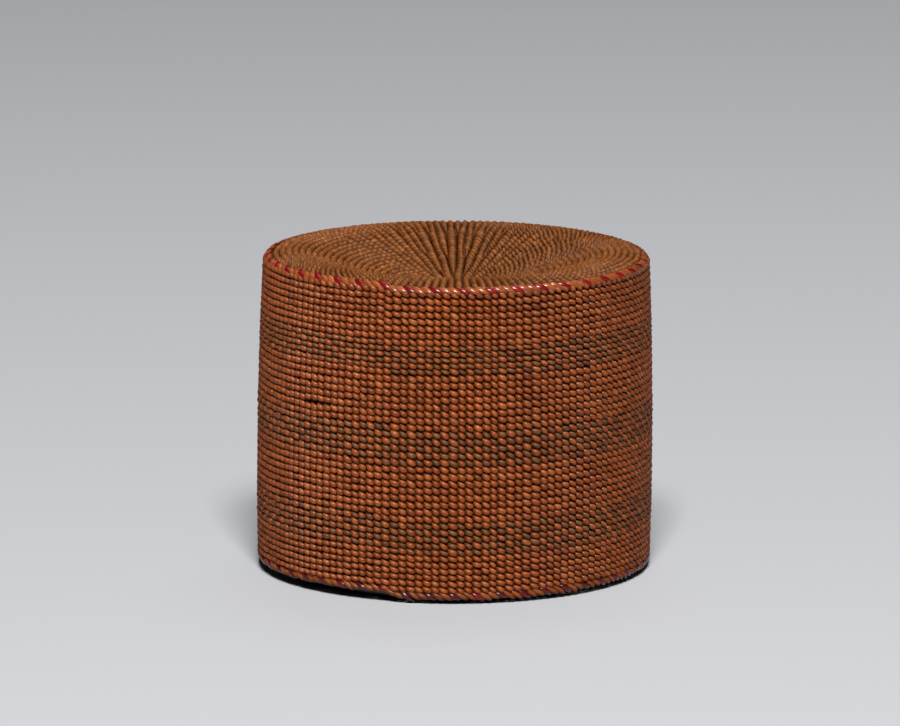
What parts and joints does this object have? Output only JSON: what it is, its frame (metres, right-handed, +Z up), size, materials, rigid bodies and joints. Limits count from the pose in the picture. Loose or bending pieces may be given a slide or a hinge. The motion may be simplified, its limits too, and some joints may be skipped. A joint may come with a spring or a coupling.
{
  "type": "tea caddy",
  "caption": "Round tea caddy: a black lacquered vessel with an inner lid under a full-depth lift-off cover of two-tone twined basketry with a dished top.",
  "frame": {"origin": "on the floor, at the middle of the vessel's base", "axes": "+Z up along the caddy's axis, the cover comes off along +Z; the picture looks along +Y"},
  "size_m": [0.0842, 0.0842, 0.068],
  "materials": {
    "natural_weft": "polished by handling",
    "banded_weft": "polished by handling",
    "warp": "matt",
    "red_strand": "gloss lacquer",
    "black_lacquer": "gloss lacquer"
  },
  "bodies": {
    "vessel": {"vessel_wall": "black_lacquer", "vessel_base": "black_lacquer"},
    "cover": {"first_warps": "warp", "second_warps": "warp", "third_warps": "warp", "last_warps": "warp", "dish_start": "natural_weft", "dish_first_courses": "natural_weft", "dish_second_courses": "natural_weft", "dish_third_courses": "natural_weft", "dish_shoulder_courses": "natural_weft", "upper_plain_courses": "natural_weft", "upper_band_courses": "banded_weft", "middle_plain_courses": "natural_weft", "middle_band_courses": "banded_weft", "lower_plain_courses": "natural_weft", "lower_band_courses": "banded_weft", "foot_plain_courses": "natural_weft", "dish_back_courses": "natural_weft", "wall_back_courses": "natural_weft", "rim_red_strand": "red_strand", "rim_first_tan_strand": "natural_weft", "rim_second_tan_strand": "natural_weft", "foot_red_strand": "red_strand", "foot_first_tan_strand": "natural_weft", "foot_second_tan_strand": "natural_weft"},
    "inner_lid": {"inner_lid_disc": "black_lacquer", "inner_lid_rim": "black_lacquer", "inner_lid_knob": "black_lacquer"}
  },
  "joints": [
    {"name": "cover_lift", "type": "slide", "parent": "vessel", "child": "cover", "axis": [0, 0, 1], "range_m": [0, 0.09]},
    {"name": "inner_lid_lift", "type": "slide", "parent": "vessel", "child": "inner_lid", "axis": [0, 0, 1], "range_m": [0, 0.0225]}
  ],
  "couplings": [
    {"joint": "inner_lid_lift", "follows": "cover_lift", "ratio": 0.25}
  ]
}
